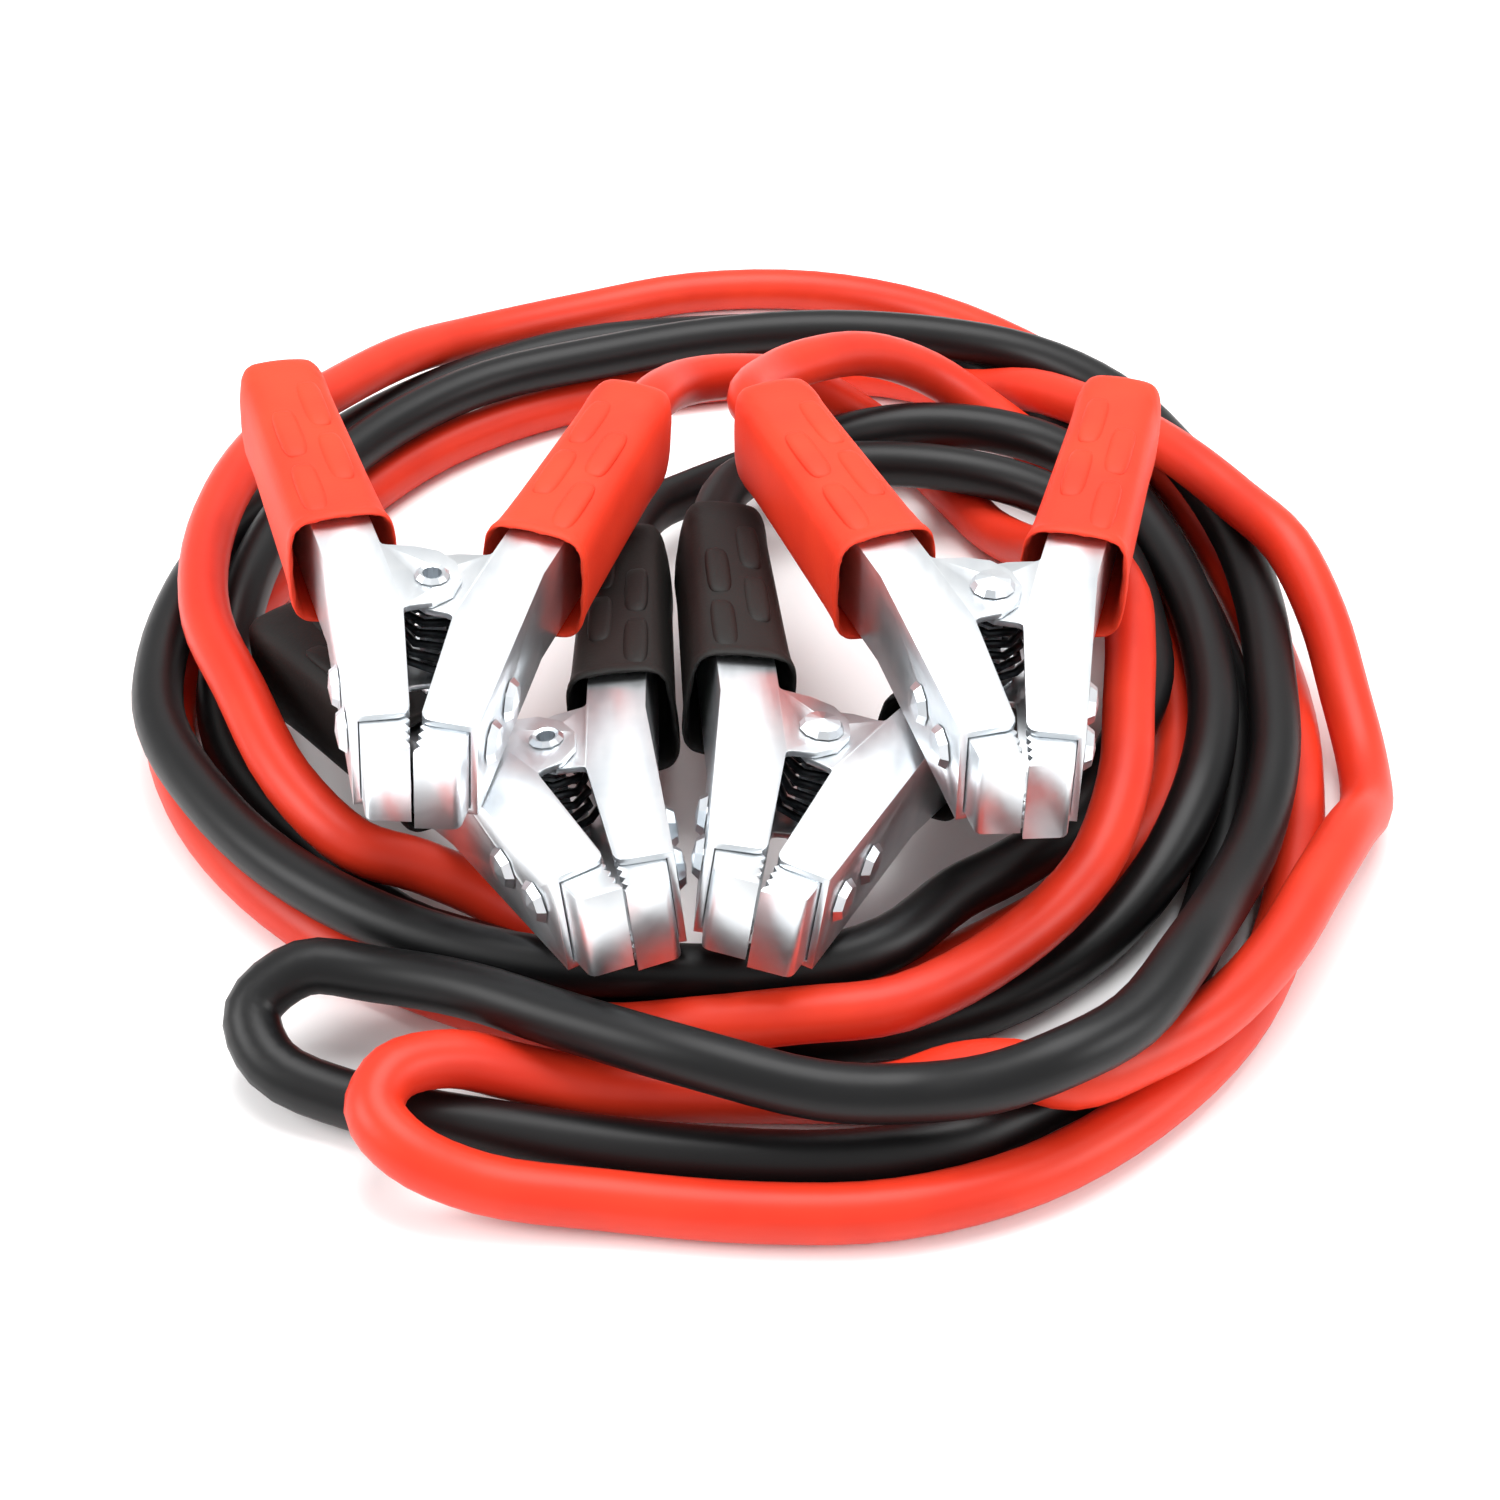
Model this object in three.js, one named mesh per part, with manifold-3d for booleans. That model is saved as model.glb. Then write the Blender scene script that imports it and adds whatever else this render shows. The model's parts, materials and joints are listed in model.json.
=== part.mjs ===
// A set of two booster cables, one red and one black, loosely coiled together,
// with four equal spring clamps lying on top. Millimetres, +Z up, floor at z = 0.
import * as THREE from 'three';
import { mergeVertices } from 'three/addons/utils/BufferGeometryUtils.js';
import Module from 'manifold-3d';

const wasm = await Module();
wasm.setup();

const degree = Math.PI / 180;

// Cable: stranded copper in a soft round sheath
const cable_diameter = 12.4;
const cable_sides = 8;

// Gap between pieces that touch, and the running gap between the nested arms
const seat_gap = 0.3;
const nest_gap = 0.2;

// Clamp arm: one folded steel channel, open towards the other arm
const sheet = 1.5;
const arm_depth = 23.6;
const jaw_half_width = 13;
const front_reach = 51;
const jaw_splay = 11.5 * degree;
const bend_height = 5;
const handle_splay = 18 * degree;
const handle_width = 13.5;
const handle_length = 67;
const arm_parting = 1;
const front_corner_radius = 2.5;

// Pivot ear of the arm
const ear_half_height = 11.5;
const ear_reach = 6.5;
const ear_root = 5.4;
const pivot_shank_radius = 3;
const pivot_play = 0.15;

// Jaw: a stamped cup nested in the front of the arm
const jaw_reach = 58;
const jaw_rear = 19;
const jaw_flange_rear = 38;
const jaw_parting = 0.3;
const jaw_corner_radius = 2;
const jaw_taper = 0.08;
const tooth_count = 5;
const tooth_pitch = 2.6;
const tooth_depth = 1.1;

// Rivets that hold each jaw, set back along the flank from the arm's front edge
const rivet_setbacks = { front: 10.5, rear: 25.6 };
const rivet_head_radius = 5;
const rivet_head_height = 2.2;
const rivet_shank_radius = 2;
const rivet_tail_radius = 3;
const rivet_tail_height = 1.2;
const rivet_play = 0.2;

// Pivot rivet: domed head at one end, rolled hollow end at the other
const pivot_head_radius = 5.1;
const pivot_head_height = 2.4;
const pivot_flare_radius = 4;
const pivot_flare_height = 1;
const pivot_bore_radius = 2.2;
const pivot_bore_depth = 7;

// Torsion spring round the pivot
const wire_diameter = 2;
const spring_radius = 7.2;
const spring_turns = 5;
const spring_leg_angle = 40 * degree;
const spring_leg_length = 32;
const spring_points_per_turn = 8;

// Grip sleeve: a rounded-oval boot pushed over the handle
const sleeve_half_width = 12.2;
const sleeve_half_depth = 14.2;
const sleeve_wall = 1.7;
const sleeve_length = 77;
const sleeve_setback = 11.5;
const sleeve_offset = 0;
const outer_squareness = 4;
const inner_squareness = 6;
const sleeve_end_share = 0.86;
const rim_height = 3;
const rim_proud = 0.7;
const collar_length = 14;
const collar_proud = 0.4;
const end_rounding = 6;
const bore_clearance = 0.3;
const straight_exit = 10;

// Where each clamp lies: pivot point, then turn, pitch and roll in degrees.
// The cable side is the handle that carries the cable, seen from above with the jaws nearest.
const clamps = [
  { name: 'red_left', at: [-71, -29.9, 62.4], turn: 1.5, pitch: -1, roll: 4, cable_side: 'right', head: 'down' },
  { name: 'red_right', at: [53.8, -29.2, 59.1], turn: 3, pitch: -0.5, roll: 0, cable_side: 'left', head: 'up' },
  { name: 'black_left', at: [-43.6, -54.6, 35.2], turn: 19.5, pitch: -8, roll: -3.5, cable_side: 'right', head: 'down' },
  { name: 'black_right', at: [14, -53.5, 37.6], turn: -13.5, pitch: -7.4, roll: 6.5, cable_side: 'left', head: 'up' },
];

const steel = new THREE.MeshStandardMaterial({ color: '#d5dbe0', roughness: 0.32, metalness: 1 });
const spring_steel = new THREE.MeshStandardMaterial({ color: '#26282a', roughness: 0.4, metalness: 0.8 });
const red_grip = new THREE.MeshStandardMaterial({ color: '#f9603f', roughness: 0.6, metalness: 0 });
const black_grip = new THREE.MeshStandardMaterial({ color: '#2b2a28', roughness: 0.65, metalness: 0 });
const red_sheath = new THREE.MeshStandardMaterial({ color: '#ee5740', roughness: 0.45, metalness: 0 });
const black_sheath = new THREE.MeshStandardMaterial({ color: '#1c1c1e', roughness: 0.45, metalness: 0 });

// A closed geometry as a solid that can be joined and cut
function solid(geometry) {
  const bare = new THREE.BufferGeometry();
  bare.setAttribute('position', geometry.getAttribute('position').clone());
  if (geometry.index) bare.setIndex(geometry.index);
  const merged = mergeVertices(bare, 1e-4);
  return new wasm.Manifold(new wasm.Mesh({
    numProp: 3,
    vertProperties: new Float32Array(merged.getAttribute('position').array),
    triVerts: new Uint32Array(merged.index.array),
  }));
}

function geometry_of(body) {
  const mesh = body.getMesh();
  const geometry = new THREE.BufferGeometry();
  geometry.setAttribute('position', new THREE.BufferAttribute(mesh.vertProperties, 3));
  geometry.setIndex(new THREE.BufferAttribute(mesh.triVerts, 1));
  geometry.computeVertexNormals();
  return geometry;
}

// An outline from corners [x, y, radius], each rounded by its radius
function outline(corners) {
  const points = [];
  const count = corners.length;
  corners.forEach(([x, y, radius], index) => {
    const corner = new THREE.Vector2(x, y);
    if (!radius) {
      points.push(corner);
      return;
    }
    const [px, py] = corners[(index + count - 1) % count];
    const [nx, ny] = corners[(index + 1) % count];
    const before = new THREE.Vector2(px, py).sub(corner).normalize();
    const after = new THREE.Vector2(nx, ny).sub(corner).normalize();
    const half = Math.acos(before.dot(after)) / 2;
    const middle = before.clone().add(after).normalize();
    const centre = corner.clone().addScaledVector(middle, radius / Math.sin(half));
    const start = corner.clone().addScaledVector(before, radius / Math.tan(half)).sub(centre);
    const turn = Math.PI - 2 * half;
    const sense = Math.sign(before.cross(after)) * -1;
    const steps = Math.max(2, Math.round(turn / (30 * degree)));
    for (let step = 0; step <= steps; step += 1) {
      const swept = start.clone().rotateAround(new THREE.Vector2(), (sense * turn * step) / steps);
      points.push(swept.add(centre));
    }
  });
  return new THREE.Shape(points);
}

function prism(corners, half_depth) {
  const geometry = new THREE.ExtrudeGeometry(outline(corners), { depth: 2 * half_depth, bevelEnabled: false });
  return solid(geometry.translate(0, 0, -half_depth));
}

// The flank is the arm's outer face: a point on it at height y, moved in by some distance
function flank_x(y, inwards) {
  return jaw_half_width + (y + front_reach) * Math.tan(jaw_splay) - inwards / Math.cos(jaw_splay);
}

// Points along the handle's outer edge, moved in by some distance
const bend = [flank_x(bend_height, 0), bend_height];
function handle_point(along, inwards) {
  return [
    bend[0] + along * Math.sin(handle_splay) - inwards * Math.cos(handle_splay),
    bend[1] + along * Math.cos(handle_splay) + inwards * Math.sin(handle_splay),
  ];
}

// The inner corner at the bend, where both inside faces of the channel meet
function bend_inside(inwards) {
  const middle = (jaw_splay + handle_splay) / 2;
  const reach = inwards / Math.cos((handle_splay - jaw_splay) / 2);
  return [bend[0] - reach * Math.cos(middle), bend[1] + reach * Math.sin(middle)];
}

const nest_shift = (sheet + nest_gap) / 2;

// A rivet's own axis: out through the flank at a setback from the front edge
function rivet_frame(setback) {
  const y = -front_reach + setback * Math.cos(jaw_splay);
  return new THREE.Matrix4()
    .makeRotationZ(-jaw_splay - Math.PI / 2)
    .setPosition(flank_x(y, 0), y, 0);
}

function rivet_bores() {
  return Object.values(rivet_setbacks).map((setback) => {
    const bore = new THREE.CylinderGeometry(
      rivet_shank_radius + rivet_play, rivet_shank_radius + rivet_play, 20, 8);
    return solid(bore.applyMatrix4(rivet_frame(setback)));
  });
}

function arm() {
  const tip = handle_point(handle_length, handle_width);
  const ear_top_x = tip[0] - (tip[1] - ear_half_height) * Math.tan(handle_splay);
  const front_inner_y = -front_reach + (jaw_half_width - arm_parting) * Math.tan(jaw_splay);
  const blank = prism([
    [arm_parting, front_inner_y, front_corner_radius],
    [jaw_half_width, -front_reach, 0],
    [...bend, 0],
    [...handle_point(handle_length, 0), 0],
    [...tip, 0],
    [ear_top_x, ear_half_height, 1.5],
    [-ear_reach, ear_half_height, ear_half_height - 0.1],
    [-ear_reach, -ear_half_height, ear_half_height - 0.1],
    [ear_root, -ear_half_height, 1.2],
  ], arm_depth / 2);
  const past = 10;
  const inside = prism([
    [-4 * past, -front_reach - past, 0],
    [flank_x(-front_reach - past, sheet), -front_reach - past, 0],
    [...bend_inside(sheet), 0],
    [...handle_point(handle_length + past, sheet), 0],
    [-4 * past, handle_length + 2 * past, 0],
  ], arm_depth / 2 - sheet);
  const bore = new THREE.CylinderGeometry(
    pivot_shank_radius + pivot_play, pivot_shank_radius + pivot_play, 2 * arm_depth, 12);
  let body = blank.subtract(inside).subtract(solid(bore.rotateX(Math.PI / 2)));
  rivet_bores().forEach((hole) => {
    body = body.subtract(hole);
  });
  return geometry_of(body).translate(0, 0, -nest_shift);
}

// The jaw's toothed edge, from its back to the face
function teeth() {
  const corners = [];
  for (let tooth = tooth_count - 1; tooth >= 0; tooth -= 1) {
    const y = -jaw_reach + (tooth + 0.5) * tooth_pitch;
    const x = jaw_parting + (y + jaw_reach) * jaw_taper;
    corners.push([x + tooth_depth, y + tooth_pitch / 2, 0]);
    corners.push([x, y, 0]);
  }
  return corners;
}

function jaw() {
  const outside = sheet + seat_gap;
  const inside = outside + sheet;
  const half_depth = arm_depth / 2 - sheet - seat_gap;
  const blank = prism([
    [jaw_parting, -jaw_reach, 0],
    [flank_x(-jaw_reach, outside), -jaw_reach, jaw_corner_radius],
    [flank_x(-jaw_rear, outside), -jaw_rear, 0],
    [flank_x(-jaw_rear, inside), -jaw_rear, 0],
    [flank_x(-jaw_flange_rear, inside), -jaw_flange_rear, 0],
    [jaw_parting + 2 * tooth_depth, -jaw_flange_rear, 0],
    ...teeth(),
  ], half_depth);
  const past = 6;
  const hollow = prism([
    [-past, -jaw_reach + sheet, 0],
    [flank_x(-jaw_reach + sheet, inside), -jaw_reach + sheet, 0],
    [flank_x(-jaw_rear + past, inside), -jaw_rear + past, 0],
    [-past, -jaw_rear + past, 0],
  ], half_depth - sheet);
  let body = blank.subtract(hollow);
  rivet_bores().forEach((hole) => {
    body = body.subtract(hole);
  });
  return geometry_of(body).translate(0, 0, -nest_shift);
}

// Turned shapes are profiles [radius, height] about the Y axis
function turned(profile, sides) {
  return new THREE.LatheGeometry(profile.map(([r, h]) => new THREE.Vector2(r, h)), sides);
}

function jaw_rivet(setback) {
  const grip = 2 * sheet + 2 * seat_gap;
  const profile = [
    [0, -grip - rivet_tail_height],
    [rivet_tail_radius, -grip - rivet_tail_height],
    [rivet_tail_radius, -grip],
    [rivet_shank_radius, -grip],
    [rivet_shank_radius, seat_gap],
    [rivet_head_radius, seat_gap],
    [rivet_head_radius * 0.75, seat_gap + rivet_head_height * 0.75],
    [0, seat_gap + rivet_head_height],
  ];
  return turned(profile, 8).applyMatrix4(rivet_frame(setback)).translate(0, 0, -nest_shift);
}

function pivot_rivet(head) {
  const seat = arm_depth / 2 + nest_shift + seat_gap;
  const profile = [
    [0, -seat - pivot_flare_height + pivot_bore_depth],
    [pivot_bore_radius, -seat - pivot_flare_height + pivot_bore_depth],
    [pivot_bore_radius, -seat - 0.6 * pivot_flare_height],
    [0.75 * pivot_flare_radius, -seat - pivot_flare_height],
    [pivot_flare_radius, -seat],
    [pivot_shank_radius, -seat],
    [pivot_shank_radius, seat],
    [pivot_head_radius, seat],
    [pivot_head_radius * 0.8, seat + pivot_head_height * 0.65],
    [0, seat + pivot_head_height],
  ];
  const upright = head === 'up' ? Math.PI / 2 : -Math.PI / 2;
  return turned(profile, 12).rotateX(upright);
}

function spring() {
  const half_height = arm_depth / 2 - nest_shift - sheet - wire_diameter / 2 - nest_gap;
  const total = 2 * Math.PI * spring_turns + Math.PI - 2 * spring_leg_angle;
  const count = Math.round((total / (2 * Math.PI)) * spring_points_per_turn);
  const points = [];
  for (let step = 0; step <= count; step += 1) {
    const angle = -spring_leg_angle - (total * step) / count;
    const z = -half_height + (2 * half_height * step) / count;
    points.push(new THREE.Vector3(spring_radius * Math.cos(angle), spring_radius * Math.sin(angle), z));
  }
  [1, -1].forEach((side) => {
    const root = side > 0 ? points[0] : points[points.length - 1];
    const sideways = side * Math.sin(spring_leg_angle);
    const leg = new THREE.Vector3(sideways, Math.cos(spring_leg_angle), 0);
    const legs = [0.4, 1].map((share) => root.clone().addScaledVector(leg, share * spring_leg_length));
    if (side > 0) points.unshift(legs[1], legs[0]);
    else points.push(legs[0], legs[1]);
  });
  const section = new THREE.Shape(new THREE.Path().absarc(0, 0, wire_diameter / 2, 0, 2 * Math.PI).getPoints(3));
  return new THREE.ExtrudeGeometry(section, {
    steps: count + 6,
    extrudePath: new THREE.CatmullRomCurve3(points, false, 'centripetal'),
    bevelEnabled: false,
  });
}

// The sleeve's axis runs up the handle, a little inside the middle of the strip
const sleeve_middle = handle_width / 2 + sleeve_offset;

function squared(share, power) {
  return Math.abs(share) < 1e-6 ? 0 : Math.sign(share) * Math.abs(share) ** power;
}

function sleeve(carries_cable) {
  const inner = sleeve_half_width - sleeve_wall;
  const bore = cable_diameter / 2 + bore_clearance;
  const floor = sleeve_length - sleeve_wall;
  const outer = [
    [inner, 0],
    [sleeve_half_width + rim_proud, 0],
    [sleeve_half_width + rim_proud, rim_height],
    [sleeve_half_width, rim_height + rim_proud],
    [sleeve_half_width, sleeve_length - collar_length],
    [sleeve_half_width + collar_proud, sleeve_length - collar_length + collar_proud],
    [sleeve_half_width + collar_proud, sleeve_length - end_rounding],
    [sleeve_half_width - 0.35 * end_rounding, sleeve_length - 0.25 * end_rounding],
  ];
  const closed_end = [[0, floor], [inner, floor - 0.5 * end_rounding], ...outer, [0, sleeve_length]];
  const open_end = [
    [bore, floor], [inner, floor - 0.5 * end_rounding], ...outer, [bore, sleeve_length], [bore, floor],
  ];
  const geometry = turned(carries_cable ? open_end : closed_end, 16);
  const places = geometry.getAttribute('position');
  for (let index = 0; index < places.count; index += 1) {
    const x = places.getX(index);
    const z = places.getZ(index);
    const radius = Math.hypot(x, z);
    if (radius > 0.7 * sleeve_half_width) {
      const power = 2 / (radius < inner + 0.1 ? inner_squareness : outer_squareness);
      const narrowing = 1 - (1 - sleeve_end_share) * (places.getY(index) / sleeve_length);
      const depth = radius + sleeve_half_depth - sleeve_half_width;
      places.setX(index, radius * narrowing * squared(x / radius, power));
      places.setZ(index, depth * squared(z / radius, power));
    }
  }
  const [x, y] = handle_point(sleeve_setback, sleeve_middle);
  return geometry.rotateZ(-handle_splay).translate(x, y, -nest_shift);
}

// The cable's route inside and just outside the sleeve that carries it
function cable_exit(clamp, frame) {
  const side = clamp.cable_side === 'right' ? 1 : -1;
  const butt = handle_length + seat_gap;
  const end = sleeve_setback + sleeve_length;
  return [butt, (butt + end) / 2, end, end + straight_exit].map((along) => {
    const [x, y] = handle_point(along, sleeve_middle);
    return new THREE.Vector3(side * x, y, side * -nest_shift).applyMatrix4(frame);
  });
}

// A route whose steps follow its chosen points, so tight bends, with more points, get shorter steps
class Route extends THREE.CatmullRomCurve3 {
  getPointAt(share, target) {
    return this.getPoint(share, target);
  }

  getTangentAt(share, target) {
    return this.getTangent(share, target);
  }
}

function cable(name, from, route, to, material) {
  const points = [...from, ...route.map((point) => new THREE.Vector3(...point)), ...to.reverse()];
  const ring = [];
  for (let side = 0; side < cable_sides; side += 1) {
    const angle = (2 * Math.PI * side) / cable_sides;
    ring.push(new THREE.Vector2(Math.cos(angle), Math.sin(angle)).multiplyScalar(cable_diameter / 2));
  }
  const geometry = new THREE.ExtrudeGeometry(new THREE.Shape(ring), {
    steps: points.length - 1,
    extrudePath: new Route(points, false, 'centripetal'),
    bevelEnabled: false,
  });
  return named(name, geometry, material);
}

function named(name, geometry, material) {
  const mesh = new THREE.Mesh(geometry, material);
  mesh.name = name;
  return mesh;
}

// One clamp, with its pivot at the group's origin and its jaws towards -Y
function build_clamp(clamp, grip) {
  const group = new THREE.Group();
  ['right', 'left'].forEach((side) => {
    const half = new THREE.Group();
    if (side === 'left') half.rotation.y = Math.PI;
    const role = side === clamp.cable_side ? 'cable' : 'free';
    const prefix = `${clamp.name}_${role}`;
    half.add(named(`${prefix}_arm`, arm(), steel));
    half.add(named(`${prefix}_jaw`, jaw(), steel));
    half.add(named(`${prefix}_sleeve`, sleeve(role === 'cable'), grip));
    Object.entries(rivet_setbacks).forEach(([place, setback]) => {
      half.add(named(`${prefix}_rivet_${place}`, jaw_rivet(setback), steel));
    });
    group.add(half);
  });
  group.add(named(`${clamp.name}_pivot_rivet`, pivot_rivet(clamp.head), steel));
  group.add(named(`${clamp.name}_spring`, spring(), spring_steel));
  group.rotation.set(clamp.pitch * degree, clamp.roll * degree, clamp.turn * degree, 'ZXY');
  group.position.set(...clamp.at);
  group.updateMatrixWorld(true);
  return group;
}

// Heights of the cable's centre line: on the floor, on one cable and on two
const low = cable_diameter / 2 + 0.1;
const mid = low + cable_diameter + 0.4;
const top = mid + cable_diameter + 0.4;

// Route of the red cable between its two clamps, chosen by hand: [x, y, z]
const red_route = [
  [-18, 93, 49], [-4, 108, 42], [14, 124, 30], [33, 131, 13.5], [46.5, 123, 6.6], [58, 101, 6.6],
  [66, 86, 6.6], [75, 71, 11], [81.5, 57, 20], [88, 43, 29], [92.8, 21, 32.4], [91.6, 0, 32.4],
  [89, -20, 31], [85, -46, 29], [75, -71, 25], [56, -91, 21], [32, -106, mid], [10, -110, 19.5],
  [-11, -110.5, 17], [-32, -106.5, 11], [-55, -96.5, 6.8], [-82.2, -82.6, low], [-107, -63, low],
  [-127, -39, low], [-140, -13, low], [-144.8, 11, low], [-140, 30, low], [-132, 50, low],
  [-122, 74, low], [-110, 99, low], [-88, 128, low], [-56, 150, low], [-14, 163, low],
  [32, 167, 6.8], [64.5, 154.2, 9], [80.5, 141.3, 17.2], [97, 121, 23], [108, 98, 29.5],
  [117, 81, top], [127, 63, top], [136.5, 43, 32], [143.5, 24, 23.5], [147, 5, 14],
  [148.5, -14, 8.5], [146, -32, 9.5], [138, -48, 16], [127, -68, mid], [114, -90, mid],
  [98, -109, mid], [81, -121, mid], [66, -128, mid], [54, -125, 19.5], [43, -121.5, 14.5],
  [30, -121, 8], [12, -120.5, 6.6], [-8, -120, low], [-30, -119.5, 7], [-48, -119, 11.5],
  [-62, -120.5, 17.5], [-73, -127, 20.5], [-76, -136, mid], [-69, -144, 16], [-54, -147.5, 10],
  [-30, -149, 6.8], [2, -152, low], [30, -151, low], [58, -142, low], [83, -125, low],
  [104, -102, low], [118, -76, low], [127, -48, low], [132, -22, low], [134.8, 5, low],
  [133.5, 36, low], [129, 70, low], [122, 103, low], [110, 138, low], [89, 174, low], [56, 204, low],
  [20, 217.5, low], [-18, 216.5, low], [-52, 204, low], [-84.5, 182.5, 10.3], [-100, 161, 17.5],
  [-115, 135, 23], [-128, 105, 28.5], [-136, 72, top], [-138, 42, top], [-133, 12, top],
  [-121, -14, 31], [-106, -42, 26], [-88.9, -58.2, 20.6], [-75, -59, 15.2], [-61, -61.5, 9.5],
  [-48, -68, low], [-31, -77, low], [-11, -86, low], [14, -88.5, low], [38, -84.5, low],
  [60, -71.5, low], [81, -54, low], [98, -31, low], [105, -2, low], [106, 34, low], [101, 66, low],
  [93.5, 98, low], [84, 121, 7.5], [68, 132, 15.5], [51, 134, 27], [32, 123, 40], [16, 106, 48],
  [6, 92, 52],
];

// Route of the black cable between its two clamps, chosen by hand: [x, y, z]
const black_route = [
  [-27, 78, 18], [-14, 95, 14], [4, 107, 14], [24, 113, 19], [44, 118.5, 19.6], [64, 117.5, 19.4],
  [83, 109, mid], [98, 91, mid], [107, 66, mid], [112.5, 37, mid], [113.5, 10, mid],
  [111, -14, 19.5], [104, -38, 18], [93, -58, 12], [76, -77, 6.8], [52, -94.5, low], [24, -103, low],
  [-8, -101.5, low], [-32, -92.5, low], [-54, -79.5, low], [-79.2, -68.4, low], [-98.5, -47.5, low],
  [-115, -29, low], [-127, -9, 7], [-132.2, 11, 10], [-130.5, 30, 17], [-128.6, 52, mid],
  [-124, 75, mid], [-114, 98, mid], [-98, 122, mid], [-76, 142, mid], [-44, 156, mid],
  [-10, 167, mid], [24, 171, mid], [56, 167, mid], [82, 157, mid], [104, 136, mid], [120, 100, mid],
  [128, 66, mid], [130, 35, mid], [128, 5, mid], [124, -25, mid], [115, -54, mid], [105, -76, 23],
  [92, -102, 30.5], [78, -123, top], [62, -134, top], [48, -137, 28], [32, -136, 24], [14, -136, 25],
  [-12, -129, 27], [-38, -116, 24], [-60, -104, 21], [-80, -97.5, mid], [-96, -96, 19.5],
  [-106, -104, 15], [-101, -115, 10], [-82, -123, 6.8], [-48, -131, low], [-15, -136.5, low],
  [20, -138, low], [44, -133, low], [61, -123, low], [80, -110, low], [94, -88, low],
  [106, -60, low], [114, -30, low], [120.5, 0, low], [119.5, 34, low], [114, 68, low],
  [107, 100, low], [97, 130, low], [83, 156, low], [57, 181, low], [24, 190.5, low], [-14, 190, low],
  [-52, 183, low], [-82, 167, low], [-107, 144, 7], [-124, 118, 9], [-133, 90, 12], [-140, 65, 17],
  [-144.5, 40, mid], [-146, 12, mid], [-141.5, -13, mid], [-126, -40, mid], [-106, -63, mid],
  [-80, -81.5, mid], [-51, -93, 19], [-22, -97, 19.8], [8, -96, mid], [30, -88, mid],
  [46, -71, 17.8], [58, -60, 15.2], [70, -47, 12.5], [82, -31, 13], [91, -14, 17], [98, 5, mid],
  [99, 30, mid], [96.6, 54, mid], [88.5, 75, mid], [74, 89, mid], [54, 97, 19.4], [34, 97, 21],
  [14, 92, 23], [-2, 84, 25],
];

const set = new THREE.Group();
const frames = {};
clamps.forEach((clamp) => {
  const grip = clamp.name.startsWith('red') ? red_grip : black_grip;
  const group = build_clamp(clamp, grip);
  frames[clamp.name] = group.matrixWorld;
  set.add(group);
});

function ends(name) {
  const clamp = clamps.find((one) => one.name === name);
  return cable_exit(clamp, frames[name]);
}

set.add(cable('red_cable', ends('red_left'), red_route, ends('red_right'), red_sheath));
set.add(cable('black_cable', ends('black_left'), black_route, ends('black_right'), black_sheath));

// The origin goes to the middle of the whole set's box, on the floor
set.updateMatrixWorld(true);
const box = new THREE.Box3().setFromObject(set, true);
const middle = box.getCenter(new THREE.Vector3());
set.position.set(-middle.x, -middle.y, -box.min.z);

export default set;
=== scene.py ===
# %% [markdown]
# # A set of booster cables, red and black, coiled with four spring clamps on top
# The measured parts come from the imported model: folded steel arms, toothed jaws, rivets and sleeves.
# This script adds what a solid model leaves plain: round cables, soft sheet edges, dipped grips and finishes.

# %% Load the measured model
import json
import math

import bmesh
import bpy
from mathutils import Matrix, Vector

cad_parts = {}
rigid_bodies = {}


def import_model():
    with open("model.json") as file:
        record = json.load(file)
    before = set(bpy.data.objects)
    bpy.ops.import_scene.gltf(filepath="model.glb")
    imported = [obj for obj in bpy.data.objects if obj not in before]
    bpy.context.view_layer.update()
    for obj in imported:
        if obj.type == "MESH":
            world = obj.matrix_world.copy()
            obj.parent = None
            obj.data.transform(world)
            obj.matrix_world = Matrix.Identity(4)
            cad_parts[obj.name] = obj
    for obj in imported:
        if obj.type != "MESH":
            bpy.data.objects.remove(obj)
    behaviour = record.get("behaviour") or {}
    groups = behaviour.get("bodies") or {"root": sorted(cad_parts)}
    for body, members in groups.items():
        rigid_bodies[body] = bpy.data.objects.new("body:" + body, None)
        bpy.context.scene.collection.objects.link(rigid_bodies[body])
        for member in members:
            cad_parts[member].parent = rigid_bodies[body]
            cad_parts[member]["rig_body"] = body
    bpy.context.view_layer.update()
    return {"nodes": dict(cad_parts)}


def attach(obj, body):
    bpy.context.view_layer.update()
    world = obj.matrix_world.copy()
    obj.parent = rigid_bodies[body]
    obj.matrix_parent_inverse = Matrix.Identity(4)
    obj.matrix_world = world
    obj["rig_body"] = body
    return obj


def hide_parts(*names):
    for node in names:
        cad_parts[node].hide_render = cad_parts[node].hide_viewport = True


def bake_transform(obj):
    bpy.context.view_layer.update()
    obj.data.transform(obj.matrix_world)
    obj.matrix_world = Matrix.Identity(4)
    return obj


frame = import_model()
nodes = frame["nodes"]
scene = bpy.context.scene

# %% [markdown]
# ## Camera
# The photo looks down at about 40 degrees from the jaws' side, with a fairly long lens.
# The cables' routes are written about the point on the floor that this camera looks at.
# The model's own origin is at the bottom middle of its box, so one shift carries everything over.
# A camera could also be aimed with a constraint, but two angles and a distance are easier to read.

# %% Camera
MM = 0.001
FLOOR_SHIFT = Vector((-1.199, -32.709, -0.101)) * MM
CAMERA_HEIGHT_ANGLE = math.radians(40)
CAMERA_DISTANCE = 0.618
LENS = 59.5

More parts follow.
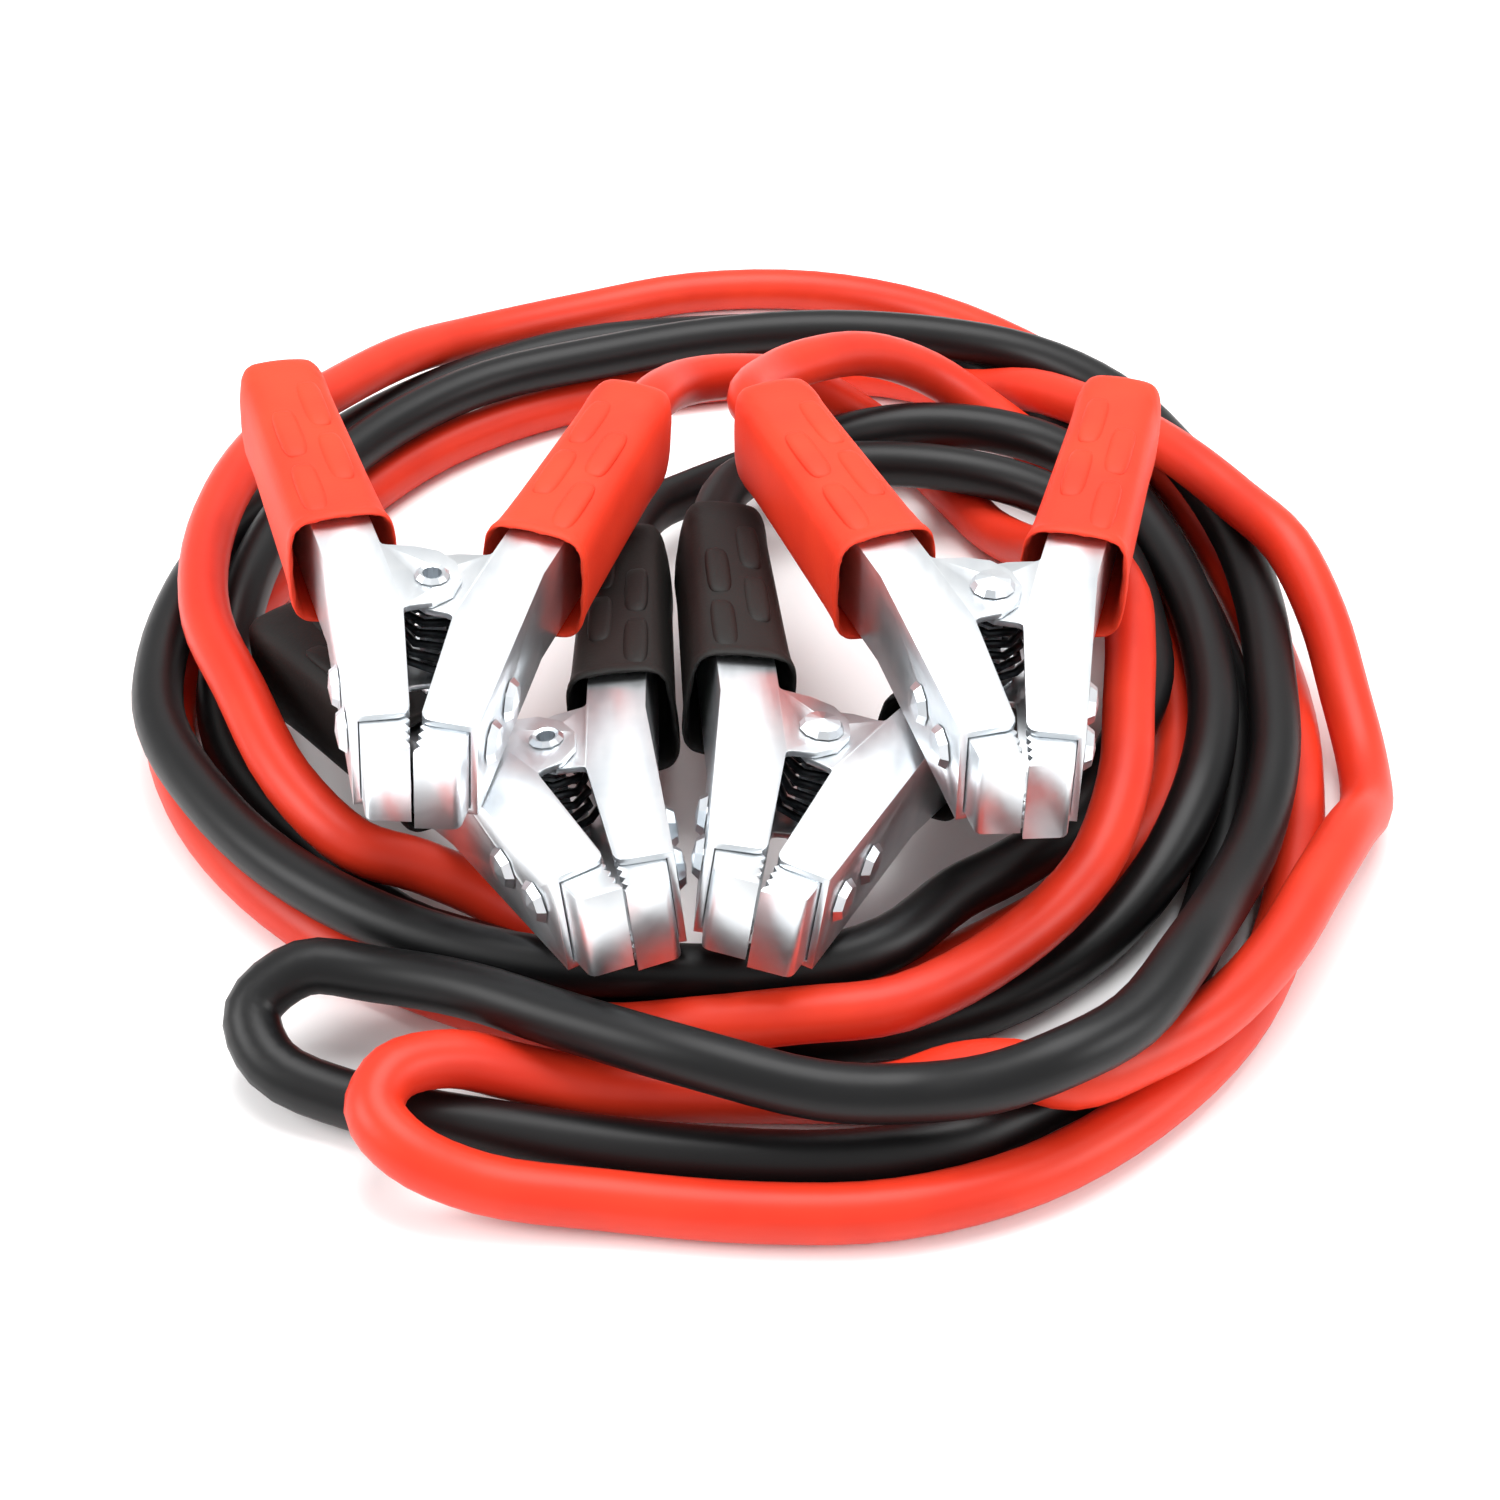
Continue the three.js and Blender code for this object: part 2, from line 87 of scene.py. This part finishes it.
camera = bpy.data.objects.new("camera", bpy.data.cameras.new("camera"))
scene.collection.objects.link(camera)
camera.data.lens = LENS
camera.data.sensor_width = 36
back = Vector((0, -math.cos(CAMERA_HEIGHT_ANGLE), math.sin(CAMERA_HEIGHT_ANGLE)))
camera.location = back * CAMERA_DISTANCE + FLOOR_SHIFT
camera.rotation_euler = (math.pi / 2 - CAMERA_HEIGHT_ANGLE, 0, 0)
scene.camera = camera
print("camera at", camera.location)

# %% [markdown]
# ## Clamps' places
# Each clamp lies at its own height, turned and tipped a little as the coil holds it.
# Turn is about the upright, pitch lifts the jaws, and roll tips the clamp sideways.
# The same numbers place the clamps in the measured model, so cables, pads and springs meet them.
# Reading these places off the mesh would also do, but a frame for each clamp gives its directions too.

# %% Clamp frames
CABLE_DIAMETER = 12.4
SEAT_GAP = 0.3
HANDLE_LENGTH = 67
HANDLE_WIDTH = 13.5
HANDLE_SPLAY = math.radians(18)
JAW_SPLAY = math.radians(11.5)
JAW_HALF_WIDTH = 13
FRONT_REACH = 51
BEND_HEIGHT = 5
BEND = (JAW_HALF_WIDTH + (FRONT_REACH + BEND_HEIGHT) * math.tan(JAW_SPLAY), BEND_HEIGHT)
SLEEVE_SETBACK = 11.5
SLEEVE_LENGTH = 77
STRAIGHT_EXIT = 10
NEST_SHIFT = 0.85

CLAMPS = {
    "red_left": dict(at=(-71, -29.9, 62.4), turn=1.5, pitch=-1, roll=4, cable_side="right"),
    "red_right": dict(at=(53.8, -29.2, 59.1), turn=3, pitch=-0.5, roll=0, cable_side="left"),
    "black_left": dict(at=(-43.6, -54.6, 35.2), turn=19.5, pitch=-8, roll=-3.5, cable_side="right"),
    "black_right": dict(at=(14, -53.5, 37.6), turn=-13.5, pitch=-7.4, roll=6.5, cable_side="left"),
}


def clamp_frame(name):
    c = CLAMPS[name]
    turn = Matrix.Rotation(math.radians(c["turn"]), 4, "Z")
    pitch = Matrix.Rotation(math.radians(c["pitch"]), 4, "X")
    roll = Matrix.Rotation(math.radians(c["roll"]), 4, "Y")
    pivot = Matrix.Translation(Vector(c["at"]) * MM + FLOOR_SHIFT)
    return pivot @ turn @ pitch @ roll @ Matrix.Scale(MM, 4)


def side_frame(name, role):
    """The frame of one arm: the left arm is the right one turned half round the clamp's long axis."""
    cable_right = CLAMPS[name]["cable_side"] == "right"
    right = cable_right if role == "cable" else not cable_right
    half = Matrix.Identity(4) if right else Matrix.Rotation(math.pi, 4, "Y")
    return clamp_frame(name) @ half @ Matrix.Translation((0, 0, -NEST_SHIFT))


def handle_point(along, inwards):
    x = BEND[0] + along * math.sin(HANDLE_SPLAY) - inwards * math.cos(HANDLE_SPLAY)
    y = BEND[1] + along * math.cos(HANDLE_SPLAY) + inwards * math.sin(HANDLE_SPLAY)
    return Vector((x, y, 0))


def cable_exit(name):
    end = SLEEVE_SETBACK + SLEEVE_LENGTH
    butt = HANDLE_LENGTH + SEAT_GAP
    stops = (butt, (butt + end) / 2, end, end + STRAIGHT_EXIT)
    return [side_frame(name, "cable") @ handle_point(s, HANDLE_WIDTH / 2) for s in stops]


print("red left clamp's pivot at", clamp_frame("red_left").translation)

# %% [markdown]
# ## Cables
# A heavy cable is stranded copper in a soft sheath, so it bends in slow, even curves.
# It could be simulated as a falling rope, but the coil in the photo would not come out of that.
# So each route is a list of points followed by a smooth curve, and a round tube is swept along it.
# The cable lies on the floor, on one turn below it, or on two, and three named heights say which.
# The swept curve is made a mesh at once, so that its measured box is that of the tube.

# %% Cable routes
POINTS_PER_SPAN = 4
ROUNDNESS = 6
FLOOR_GAP = 0.1
TURN_GAP = 0.4
low = CABLE_DIAMETER / 2 + FLOOR_GAP
mid = low + CABLE_DIAMETER + TURN_GAP
top = mid + CABLE_DIAMETER + TURN_GAP

RED_ROUTE = [
    (-18, 93, 49), (-4, 108, 42), (14, 124, 30), (33, 131, 13.5), (46.5, 123, 6.6), (58, 101, 6.6),
    (66, 86, 6.6), (75, 71, 11), (81.5, 57, 20), (88, 43, 29), (92.8, 21, 32.4), (91.6, 0, 32.4),
    (89, -20, 31), (85, -46, 29), (75, -71, 25), (56, -91, 21), (32, -106, mid), (10, -110, 19.5),
    (-11, -110.5, 17), (-32, -106.5, 11), (-55, -96.5, 6.8), (-82.2, -82.6, low), (-107, -63, low),
    (-127, -39, low), (-140, -13, low), (-144.8, 11, low), (-140, 30, low), (-132, 50, low),
    (-122, 74, low), (-110, 99, low), (-88, 128, low), (-56, 150, low), (-14, 163, low),
    (32, 167, 6.8), (64.5, 154.2, 9), (80.5, 141.3, 17.2), (97, 121, 23), (108, 98, 29.5),
    (117, 81, top), (127, 63, top), (136.5, 43, 32), (143.5, 24, 23.5), (147, 5, 14),
    (148.5, -14, 8.5), (146, -32, 9.5), (138, -48, 16), (127, -68, mid), (114, -90, mid),
    (98, -109, mid), (81, -121, mid), (66, -128, mid), (54, -125, 19.5), (43, -121.5, 14.5),
    (30, -121, 8), (12, -120.5, 6.6), (-8, -120, low), (-30, -119.5, 7), (-48, -119, 11.5),
    (-62, -120.5, 17.5), (-73, -127, 20.5), (-76, -136, mid), (-69, -144, 16), (-54, -147.5, 10),
    (-30, -149, 6.8), (2, -152, low), (30, -151, low), (58, -142, low), (83, -125, low),
    (104, -102, low), (118, -76, low), (127, -48, low), (132, -22, low), (134.8, 5, low),
    (133.5, 36, low), (129, 70, low), (122, 103, low), (110, 138, low), (89, 174, low), (56, 204, low),
    (20, 217.5, low), (-18, 216.5, low), (-52, 204, low), (-84.5, 182.5, 10.3), (-100, 161, 17.5),
    (-115, 135, 23), (-128, 105, 28.5), (-136, 72, top), (-138, 42, top), (-133, 12, top),
    (-121, -14, 31), (-106, -42, 26), (-88.9, -58.2, 20.6), (-75, -59, 15.2), (-61, -61.5, 9.5),
    (-48, -68, low), (-31, -77, low), (-11, -86, low), (14, -88.5, low), (38, -84.5, low),
    (60, -71.5, low), (81, -54, low), (98, -31, low), (105, -2, low), (106, 34, low), (101, 66, low),
    (93.5, 98, low), (84, 121, 7.5), (68, 132, 15.5), (51, 134, 27), (32, 123, 40), (16, 106, 48),
    (6, 92, 52),
]

BLACK_ROUTE = [
    (-27, 78, 18), (-14, 95, 14), (4, 107, 14), (24, 113, 19), (44, 118.5, 19.6), (64, 117.5, 19.4),
    (83, 109, mid), (98, 91, mid), (107, 66, mid), (112.5, 37, mid), (113.5, 10, mid),
    (111, -14, 19.5), (104, -38, 18), (93, -58, 12), (76, -77, 6.8), (52, -94.5, low), (24, -103, low),
    (-8, -101.5, low), (-32, -92.5, low), (-54, -79.5, low), (-79.2, -68.4, low), (-98.5, -47.5, low),
    (-115, -29, low), (-127, -9, 7), (-132.2, 11, 10), (-130.5, 30, 17), (-128.6, 52, mid),
    (-124, 75, mid), (-114, 98, mid), (-98, 122, mid), (-76, 142, mid), (-44, 156, mid),
    (-10, 167, mid), (24, 171, mid), (56, 167, mid), (82, 157, mid), (104, 136, mid), (120, 100, mid),
    (128, 66, mid), (130, 35, mid), (128, 5, mid), (124, -25, mid), (115, -54, mid), (105, -76, 23),
    (92, -102, 30.5), (78, -123, top), (62, -134, top), (48, -137, 28), (32, -136, 24), (14, -136, 25),
    (-12, -129, 27), (-38, -116, 24), (-60, -104, 21), (-80, -97.5, mid), (-96, -96, 19.5),
    (-106, -104, 15), (-101, -115, 10), (-82, -123, 6.8), (-48, -131, low), (-15, -136.5, low),
    (20, -138, low), (44, -133, low), (61, -123, low), (80, -110, low), (94, -88, low),
    (106, -60, low), (114, -30, low), (120.5, 0, low), (119.5, 34, low), (114, 68, low),
    (107, 100, low), (97, 130, low), (83, 156, low), (57, 181, low), (24, 190.5, low), (-14, 190, low),
    (-52, 183, low), (-82, 167, low), (-107, 144, 7), (-124, 118, 9), (-133, 90, 12), (-140, 65, 17),
    (-144.5, 40, mid), (-146, 12, mid), (-141.5, -13, mid), (-126, -40, mid), (-106, -63, mid),
    (-80, -81.5, mid), (-51, -93, 19), (-22, -97, 19.8), (8, -96, mid), (30, -88, mid),
    (46, -71, 17.8), (58, -60, 15.2), (70, -47, 12.5), (82, -31, 13), (91, -14, 17), (98, 5, mid),
    (99, 30, mid), (96.6, 54, mid), (88.5, 75, mid), (74, 89, mid), (54, 97, 19.4), (34, 97, 21),
    (14, 92, 23), (-2, 84, 25),
]


def smooth_line(points, per_span):
    """A curve through the points whose speed follows the square root of their spacing."""
    line = []
    padded = [points[0] * 2 - points[1], *points, points[-1] * 2 - points[-2]]
    for i in range(1, len(padded) - 2):
        p0, p1, p2, p3 = padded[i - 1:i + 3]
        d0, d1, d2 = ((b - a).length ** 0.5 for a, b in ((p0, p1), (p1, p2), (p2, p3)))
        t1 = ((p1 - p0) / d0 - (p2 - p0) / (d0 + d1) + (p2 - p1) / d1) * d1
        t2 = ((p2 - p1) / d1 - (p3 - p1) / (d1 + d2) + (p3 - p2) / d2) * d1
        for k in range(per_span):
            s = k / per_span
            line.append(p1 * (2 * s**3 - 3 * s**2 + 1) + t1 * (s**3 - 2 * s**2 + s)
                        + p2 * (3 * s**2 - 2 * s**3) + t2 * (s**3 - s**2))
    return [*line, points[-1]]


def make_cable(name, start, route, end):
    between_clamps = [Vector(p) * MM + FLOOR_SHIFT for p in route]
    line = smooth_line([*cable_exit(start), *between_clamps, *reversed(cable_exit(end))], POINTS_PER_SPAN)
    curve = bpy.data.curves.new(name + "_round", "CURVE")
    curve.dimensions = "3D"
    curve.bevel_depth = CABLE_DIAMETER / 2 * MM
    curve.bevel_resolution = ROUNDNESS
    curve.use_fill_caps = True
    spline = curve.splines.new("POLY")
    spline.points.add(len(line) - 1)
    for point, place in zip(spline.points, line):
        point.co = (*place, 1)
    spline.use_smooth = True
    swept = bpy.data.objects.new(name + "_swept", curve)
    mesh = bpy.data.meshes.new_from_object(swept)
    bpy.data.objects.remove(swept)
    for polygon in mesh.polygons:
        polygon.use_smooth = True
    obj = bpy.data.objects.new(name + "_round", mesh)
    scene.collection.objects.link(obj)
    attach(obj, "cables_and_fixed_sides")
    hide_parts(name)
    return obj


red_cable = make_cable("red_cable", "red_left", RED_ROUTE, "red_right")
black_cable = make_cable("black_cable", "black_left", BLACK_ROUTE, "black_right")


# %% [markdown]
# ## Finishes
# Colours are judged from the photo as screen values, and one function turns them linear.
# Every pattern reads the object's own coordinates, so it stays on its piece when a clamp opens.
# Another helper adds a node, fills in its inputs and sets the stops of a colour ramp.

# %% Material helpers
def linear(hex_colour):
    parts = [int(hex_colour[i:i + 2], 16) / 255 for i in (1, 3, 5)]
    return [*(p / 12.92 if p <= 0.04045 else ((p + 0.055) / 1.055) ** 2.4 for p in parts), 1]


def add(tree, kind, inputs=None, stops=()):
    """One node, its inputs linked to other nodes' outputs or set, and a colour ramp's stops placed."""
    node = tree.nodes.new(kind)
    for name, source in (inputs or {}).items():
        if isinstance(source, bpy.types.NodeSocket):
            tree.links.new(source, node.inputs[name])
        else:
            node.inputs[name].default_value = source
    for i, (position, hex_colour) in enumerate(stops):
        node.color_ramp.elements[i].position = position
        node.color_ramp.elements[i].color = linear(hex_colour)
    return node


def new_material(name, roughness, metallic=0.0):
    material = bpy.data.materials.new(name)
    material.use_nodes = True
    tree = material.node_tree
    shader = tree.nodes["Principled BSDF"]
    shader.inputs["Roughness"].default_value = roughness
    shader.inputs["Metallic"].default_value = metallic
    return material, tree, shader


# %% [markdown]
# ### Soft sheaths and dipped grips
# Both are soft vinyl. The sheath is drawn, so it is smooth and satin with broad highlights.
# The grips are dipped, so they are duller and a little uneven, and the black ones hold dust.
# A picture of vinyl could be wrapped on, but noise at a real size needs no seams.
# Real vinyl's grain is too fine to show, so it is drawn about a millimetre coarse.

# %% Vinyl
SOFT_SHINE = 0.3
PATCH_MM = 30
PATCH_EDGES = (0.35, 0.65)
GRAIN_STRENGTH = 0.35


def vinyl(name, colour, shade, roughness, grain_mm, depth_mm):
    material, tree, shader = new_material(name, roughness)
    place = add(tree, "ShaderNodeTexCoord").outputs["Object"]
    patches = add(tree, "ShaderNodeTexNoise", {"Vector": place, "Scale": 1 / (PATCH_MM * MM), "Detail": 3})
    grain = add(tree, "ShaderNodeTexNoise", {"Vector": place, "Scale": 1 / (grain_mm * MM), "Detail": 4})
    tint = add(tree, "ShaderNodeValToRGB", {"Fac": patches.outputs[0]}, zip(PATCH_EDGES, (shade, colour)))
    relief = add(tree, "ShaderNodeBump", {"Height": grain.outputs[0], "Strength": GRAIN_STRENGTH,
                                          "Distance": depth_mm * MM})
    tree.links.new(tint.outputs[0], shader.inputs["Base Color"])
    tree.links.new(relief.outputs[0], shader.inputs["Normal"])
    shader.inputs["Specular IOR Level"].default_value = SOFT_SHINE
    return material


red_sheath = vinyl("red vinyl sheath", "#d9361e", "#cb2d18", 0.42, 1.2, 0.03)
black_sheath = vinyl("black vinyl sheath", "#0e0e0f", "#0a0a0b", 0.42, 1.2, 0.03)
red_grip = vinyl("red dipped vinyl grip", "#e63d20", "#da341b", 0.6, 0.9, 0.12)
black_grip = vinyl("black dipped vinyl grip, dusty", "#1b1917", "#131211", 0.62, 0.9, 0.15)
red_cable.data.materials.append(red_sheath)
black_cable.data.materials.append(black_sheath)


# %% [markdown]
# ### Zinc-plated sheet steel and the oiled spring
# Thin zinc over rolled sheet is bright and bluish, with fine streaks along the rolling direction.
# The spring wire is darkened and oiled, so it is nearly black with small glints.
# Streaks are noise that is stretched along the clamp, and they change the roughness more than the relief.
# Real streaks are finer than these, which are drawn wide enough to show.

# %% Steel
STREAK_MM = 1.5
STREAK_STRETCH = (1, 0.08, 1)
STREAK_STRENGTH = 0.03
STREAK_DEPTH_MM = 0.02
STREAK_POLISH = 0.04
STREAK_DULLING = 0.06
CLOUD_MM = 9
CLOUD_EDGES = (0.3, 0.7)


def plated_steel(name, colour, shade, roughness):
    material, tree, shader = new_material(name, roughness, metallic=1.0)
    place = add(tree, "ShaderNodeTexCoord").outputs["Object"]
    rolled = add(tree, "ShaderNodeMapping", {"Vector": place, "Scale": STREAK_STRETCH}).outputs[0]
    streaks = add(tree, "ShaderNodeTexNoise", {"Vector": rolled, "Scale": 1 / (STREAK_MM * MM), "Detail": 3})
    clouds = add(tree, "ShaderNodeTexNoise", {"Vector": place, "Scale": 1 / (CLOUD_MM * MM), "Detail": 2})
    tint = add(tree, "ShaderNodeValToRGB", {"Fac": clouds.outputs[0]}, zip(CLOUD_EDGES, (shade, colour)))
    sheen = add(tree, "ShaderNodeMapRange", {"Value": streaks.outputs[0], "To Min": roughness - STREAK_POLISH,
                                             "To Max": roughness + STREAK_DULLING})
    relief = add(tree, "ShaderNodeBump", {"Height": streaks.outputs[0], "Strength": STREAK_STRENGTH,
                                          "Distance": STREAK_DEPTH_MM * MM})
    tree.links.new(tint.outputs[0], shader.inputs["Base Color"])
    tree.links.new(sheen.outputs[0], shader.inputs["Roughness"])
    tree.links.new(relief.outputs[0], shader.inputs["Normal"])
    return material


zinc_steel = plated_steel("zinc-plated sheet steel", "#f0f3f5", "#e4e9ed", 0.36)
rivet_steel = plated_steel("zinc-plated rivet steel", "#eceff2", "#dde3e8", 0.34)
spring_steel = plated_steel("oiled spring steel", "#4a4d50", "#2c2e30", 0.35)


# %% [markdown]
# ## Rounded metal
# Sheet bent in a press has a soft edge, which shows as a thin bright line along every corner.
# Each arm and jaw is copied, its doubled points are merged, and a Bevel modifier rounds its corners.
# The edges could be bevelled in the mesh, but the modifier leaves the measured shape to be seen.
# The rivets are round already, so they only take their finish.

# %% Metal parts
MERGE_MM = 0.001


def copy_of(node_name, rides=True):
    source = nodes[node_name]
    obj = bpy.data.objects.new(node_name + "_finished", source.data.copy())
    obj.data.materials.clear()
    scene.collection.objects.link(obj)
    mesh = bmesh.new()
    mesh.from_mesh(obj.data)
    bmesh.ops.remove_doubles(mesh, verts=mesh.verts, dist=MERGE_MM * MM)
    bmesh.ops.recalc_face_normals(mesh, faces=mesh.faces)
    mesh.to_mesh(obj.data)
    mesh.free()
    if rides:
        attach(obj, source["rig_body"])
    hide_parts(node_name)
    return obj


SOFT_EDGE = {"arm": 0.45, "jaw": 0.25}
SOFT_EDGE_STEPS = 2
SHARP_ANGLE = math.radians(30)


def soften(obj, width_mm):
    bevel = obj.modifiers.new("soft edges", "BEVEL")
    bevel.width = width_mm * MM
    bevel.segments = SOFT_EDGE_STEPS
    bevel.limit_method = "ANGLE"
    bevel.angle_limit = SHARP_ANGLE
    bevel.use_clamp_overlap = True
    bevel.harden_normals = True
    for polygon in obj.data.polygons:
        polygon.use_smooth = True


for name in CLAMPS:
    for role in ("cable", "free"):
        for part, width in SOFT_EDGE.items():
            piece = copy_of(f"{name}_{role}_{part}")
            soften(piece, width)
            piece.data.materials.append(zinc_steel)
        for place in ("front", "rear"):
            rivet = nodes[f"{name}_{role}_rivet_{place}"]
            rivet.data.materials.clear()
            rivet.data.materials.append(rivet_steel)
    nodes[f"{name}_pivot_rivet"].data.materials.clear()
    nodes[f"{name}_pivot_rivet"].data.materials.append(rivet_steel)
print("metal parts finished")

# %% [markdown]
# ### Torsion springs
# One leg presses on each arm, so the coil winds up as the clamp opens.
# The coil here is the measured mesh, smoothly shaded and finished, tied to neither arm, so it stays put.

# %% Springs
for name in CLAMPS:
    spring = copy_of(f"{name}_spring", rides=False)
    for polygon in spring.data.polygons:
        polygon.use_smooth = True
    spring.data.materials.append(spring_steel)
    place = clamp_frame(name)
    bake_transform(spring)
print("springs wound")

# %% [markdown]
# ## Dipped grips
# A grip is dipped on a former, so every edge on it is soft, with raised pads for the fingers.
# The sleeve's measured shape is subdivided, which rounds it more evenly than a bevel would.
# The pads are flattened balls, laid in a staggered row on both faces and sunk into the grip.
# The thick rolled rim at a real grip's mouth is left out.

# %% Grips
PAD_LENGTH = 21
PAD_WIDTH = 6
PAD_PROUD = 0.6
PAD_SQUARENESS = 0.55
SLEEVE_HALF_DEPTH = 14.2
SLEEVE_ROUNDING = 2
PAD_PLACES = [(14, -4.4), (26, 4.2), (38, -4.2), (50, 3.9)]


def squared(share):
    return math.copysign(abs(share) ** PAD_SQUARENESS, share)


def add_pad(mesh, place):
    """One raised pad with rounded ends, a flattened and stretched ball sunk into the grip."""
    made = bmesh.ops.create_uvsphere(mesh, u_segments=20, v_segments=12, radius=1)
    for vertex in made["verts"]:
        x, y, z = vertex.co
        pad = Vector((squared(x) * PAD_WIDTH / 2, squared(y) * PAD_LENGTH / 2, z * 2 * PAD_PROUD))
        vertex.co = place @ pad


for name in CLAMPS:
    grip = red_grip if name.startswith("red") else black_grip
    for role in ("cable", "free"):
        sleeve = copy_of(f"{name}_{role}_sleeve")
        rounding = sleeve.modifiers.new("dipped", "SUBSURF")
        rounding.levels = rounding.render_levels = SLEEVE_ROUNDING
        for polygon in sleeve.data.polygons:
            polygon.use_smooth = True
        sleeve.data.materials.append(grip)

        pads = bmesh.new()
        for face in (1, -1):
            for along, across in PAD_PLACES:
                middle = handle_point(SLEEVE_SETBACK + along, HANDLE_WIDTH / 2 + across)
                lift = Matrix.Translation(middle + Vector((0, 0, face * (SLEEVE_HALF_DEPTH - PAD_PROUD))))
                add_pad(pads, side_frame(name, role) @ lift @ Matrix.Rotation(-HANDLE_SPLAY, 4, "Z"))
        data = bpy.data.meshes.new(f"{name}_{role}_pads")
        pads.to_mesh(data)
        pads.free()
        obj = bpy.data.objects.new(data.name, data)
        scene.collection.objects.link(obj)
        for polygon in data.polygons:
            polygon.use_smooth = True
        data.materials.append(grip)
        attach(obj, nodes[f"{name}_{role}_sleeve"]["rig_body"])
print("grips finished")

# %% [markdown]
# ## Floor and light
# The photo is a studio picture on a plain pale floor, with wide soft light from above and both sides.
# Square area lights give that softness, and a white world fills the shadows.
# The floor lies a hair under the part, so that the two never share a surface.

# %% Studio
FLOOR_HALF = 3
FLOOR_DROP = 0.0002
SKY_STRENGTH = 0.72
floor_mesh = bpy.data.meshes.new("floor")
sheet = bmesh.new()
bmesh.ops.create_grid(sheet, x_segments=1, y_segments=1, size=FLOOR_HALF)
sheet.to_mesh(floor_mesh)
sheet.free()
floor = bpy.data.objects.new("floor", floor_mesh)
floor.location.z = -FLOOR_DROP
scene.collection.objects.link(floor)
paper, _, paper_shader = new_material("white studio paper", 0.9)
paper_shader.inputs["Base Color"].default_value = linear("#fbfbfb")
floor_mesh.materials.append(paper)

world = bpy.data.worlds.new("studio")
scene.world = world
world.use_nodes = True
sky = world.node_tree.nodes["Background"]
sky.inputs["Color"].default_value = linear("#ffffff")
sky.inputs["Strength"].default_value = SKY_STRENGTH

LIGHTS = {
    "top": dict(at=(0.1, 0.25, 1.2), size=0.9, power=16),
    "left": dict(at=(-1.0, -0.3, 0.7), size=0.6, power=9),
    "right": dict(at=(1.0, -0.5, 0.6), size=0.5, power=6),
}
for name, light in LIGHTS.items():
    lamp = bpy.data.objects.new(name, bpy.data.lights.new(name, "AREA"))
    lamp.data.shape = "SQUARE"
    lamp.data.size = light["size"]
    lamp.data.energy = light["power"]
    lamp.location = light["at"]
    lamp.rotation_euler = (-Vector(light["at"])).to_track_quat("-Z", "Y").to_euler()
    scene.collection.objects.link(lamp)
scene.view_settings.view_transform = "Standard"
print(len(LIGHTS), "lights round a floor", 2 * FLOOR_HALF, "m wide")
